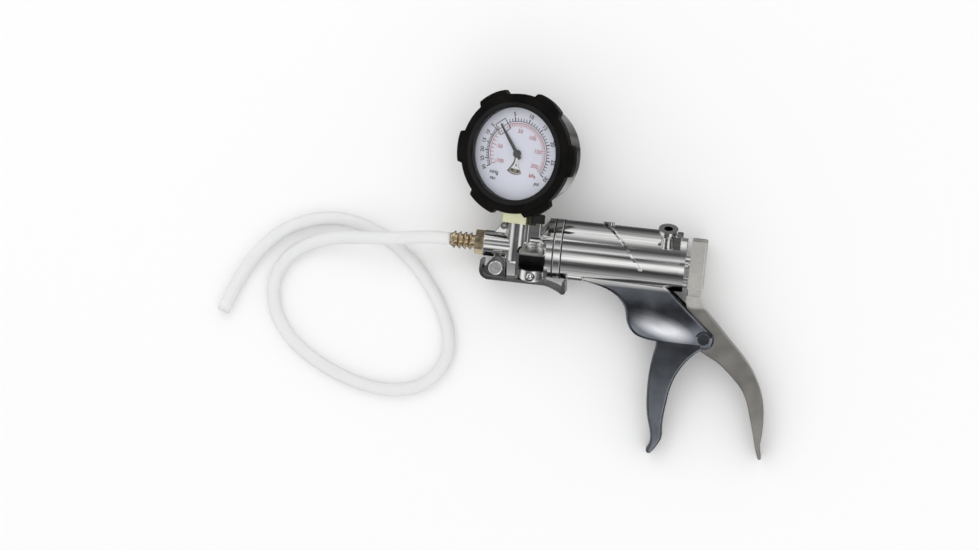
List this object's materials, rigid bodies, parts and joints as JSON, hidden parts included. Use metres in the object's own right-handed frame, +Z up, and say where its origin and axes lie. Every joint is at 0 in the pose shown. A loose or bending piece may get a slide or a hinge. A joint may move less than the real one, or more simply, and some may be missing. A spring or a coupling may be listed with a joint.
{
  "type": "hand vacuum pump",
  "caption": "Hand-squeezed vacuum and pressure pump: metal barrel with a grip and a hinged squeeze lever, round gauge in a rubber boot, release lever, brass hose barb and a clear hose",
  "frame": {"origin": "on the surface the pump lies on, under the middle of the pump without its hose", "axes": "+X along the barrel towards the rear handle, +Y towards the gauge, +Z up; the pump lies on its side"},
  "size_m": [0.3095, 0.1889, 0.0487],
  "materials": {
    "polished_casting": "polished die casting, bright with soft streaks",
    "satin_casting": "satin, lightly brushed casting",
    "steel": "bright steel",
    "spring_steel": "drawn spring wire",
    "dark_steel": "pressed steel, plated",
    "bronze": "plain machined bronze",
    "fitting_brass": "slightly brown machined brass",
    "socket_brass": "pale smooth brass",
    "case_steel": "satin case",
    "boot_rubber": "black rubber, slightly shiny",
    "bezel_plastic": "black, semi gloss",
    "lens_clear": "clear window",
    "dial_face": "white dial with black and red scales",
    "pointer_black": "black paint",
    "piston_alloy": "turned aluminium",
    "ring_plastic": "natural plastic",
    "seal_rubber": "black rubber",
    "hose_clear": "clear soft tube, slightly milky"
  },
  "bodies": {
    "root": {"barrel_casting": "polished_casting", "rear_cap": "polished_casting", "cap_screws": "steel", "rod_bush": "bronze", "rod_seal": "seal_rubber", "lever_pin": "steel", "lever_clip": "steel", "return_spring": "spring_steel", "valve_plate": "polished_casting", "inlet_check_valve": "seal_rubber", "outlet_check_valve": "seal_rubber", "head_casting": "polished_casting", "head_gasket": "seal_rubber", "head_screws": "steel", "release_valve_body": "polished_casting", "release_ball": "steel", "release_screw": "steel", "release_spring": "spring_steel", "release_seat": "bronze", "port_plug": "seal_rubber", "inlet_fitting": "fitting_brass", "gauge_socket": "socket_brass", "gauge_case": "case_steel", "gauge_boot": "boot_rubber", "gauge_bezel": "bezel_plastic", "gauge_lens": "lens_clear", "gauge_dial": "dial_face", "bourdon_tube": "bronze", "gauge_movement": "bronze", "vacuum_hose": "hose_clear"},
    "lever": {"squeeze_lever": "satin_casting"},
    "piston": {"piston_nut": "steel", "piston_washer": "steel", "piston_cup_seal": "seal_rubber", "piston_body": "piston_alloy", "piston_guide_ring": "ring_plastic", "piston_rod": "steel", "rod_cross_pin": "steel"},
    "release": {"release_lever": "dark_steel", "release_pad": "seal_rubber"},
    "needle": {"gauge_pointer": "pointer_black"}
  },
  "joints": [
    {"name": "squeeze", "type": "hinge", "parent": "root", "child": "lever", "pos_m": [0.0561, -0.02878, 0.01222], "axis": [0, 0.1045, -0.9945], "range_deg": [0, 42], "stiffness_Nm_per_rad": 0.9, "springref_deg": -20.05},
    {"name": "piston_travel", "type": "slide", "parent": "root", "child": "piston", "axis": [1, 0, 0], "range_m": [0, 0.0301], "deforming": ["return_spring"]},
    {"name": "vacuum_release", "type": "hinge", "parent": "root", "child": "release", "pos_m": [-0.0609, -0.00223, 0.01501], "axis": [0, 0.1045, -0.9945], "range_deg": [0, 8], "stiffness_Nm_per_rad": 0.3, "springref_deg": -11.46},
    {"name": "pointer_turn", "type": "hinge", "parent": "root", "child": "needle", "pos_m": [-0.05557, 0.05954, 0.03295], "axis": [0.3584, 0.0976, -0.9285], "range_deg": [-90, 180], "stiffness_Nm_per_rad": 0.0002}
  ],
  "couplings": [
    {"joint": "piston_travel", "follows": "squeeze", "m_per_rad": 0.040926}
  ]
}
